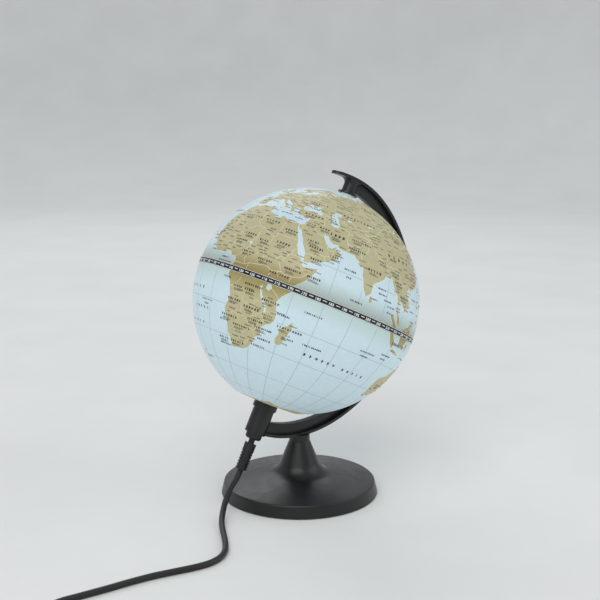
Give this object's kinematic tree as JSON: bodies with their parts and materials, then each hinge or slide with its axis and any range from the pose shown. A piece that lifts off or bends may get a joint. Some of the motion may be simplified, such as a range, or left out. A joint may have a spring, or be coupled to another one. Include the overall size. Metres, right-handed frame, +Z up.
{
  "type": "illuminated desktop globe on stand",
  "caption": "Lit desktop globe that spins on a tilted axis in a one-armed black stand, with lamp, mains lead, in-line rocker switch and flat plug.",
  "frame": {"origin": "centre of the pad under the base, on the table", "axes": "+Z up; the globe's axis and the arm lie in the XZ plane, and the north end leans towards +X; -Y faces the viewer"},
  "size_m": [0.4233, 0.3785, 0.2899],
  "materials": {
    "black_plastic": "satin moulded",
    "base_plastic": "satin moulded",
    "map_north": "printed, lit from inside",
    "map_south": "printed, lit from inside",
    "band_print": "printed tape",
    "white_plastic": "moulded",
    "opal_plastic": "opal, lit",
    "socket_ceramic": "glazed",
    "brass": "stamped",
    "zinc_steel": "zinc plated",
    "nickel": "nickel plated",
    "ballast_iron": "raw",
    "felt_pad": "felt",
    "hardboard": "matt",
    "cord_pvc": "soft PVC",
    "wire_pvc": "PVC",
    "nylon": "moulded"
  },
  "bodies": {
    "stand": {"base_pad": "felt_pad", "base_plate": "hardboard", "base_weight": "ballast_iron", "base_cover": "base_plastic", "plate_screws": "zinc_steel", "arm_screw": "zinc_steel", "arm_screw_washer": "zinc_steel", "meridian_arm": "black_plastic", "pole_pin": "nickel", "lamp_holder_stem": "black_plastic", "thrust_washer": "nylon", "holder_nut": "black_plastic", "lamp_cup": "black_plastic", "socket_insulator": "socket_ceramic", "screw_shell": "brass", "centre_contact": "brass", "lamp_wires": "wire_pvc", "bulb_cap": "nickel", "bulb_collar": "white_plastic", "bulb_envelope": "opal_plastic", "strain_relief": "cord_pvc", "mains_lead": "cord_pvc", "lead_link": "cord_pvc", "lead_coil": "cord_pvc", "lead_tail": "cord_pvc", "coil_tie": "nylon", "switch_lower_case": "black_plastic", "switch_upper_case": "black_plastic", "switch_screws": "zinc_steel", "switch_contacts": "brass", "plug_relief": "cord_pvc", "plug_body": "black_plastic", "plug_pins": "nickel"},
    "globe": {"north_hemisphere": "map_north", "south_hemisphere": "map_south", "joint_ring": "white_plastic", "equator_band": "band_print", "north_bush": "white_plastic", "south_collar": "white_plastic"},
    "rocker": {"switch_rocker": "black_plastic"}
  },
  "joints": [
    {"name": "globe_spin", "type": "hinge", "parent": "stand", "child": "globe", "pos_m": [0.0068, 0, 0.1755], "axis": [0.4274, 0, 0.9041], "continuous": true},
    {"name": "switch_rock", "type": "hinge", "parent": "stand", "child": "rocker", "pos_m": [-0.29, -0.164, 0.0124], "axis": [1, 0, 0], "range_deg": [0, 16]}
  ]
}
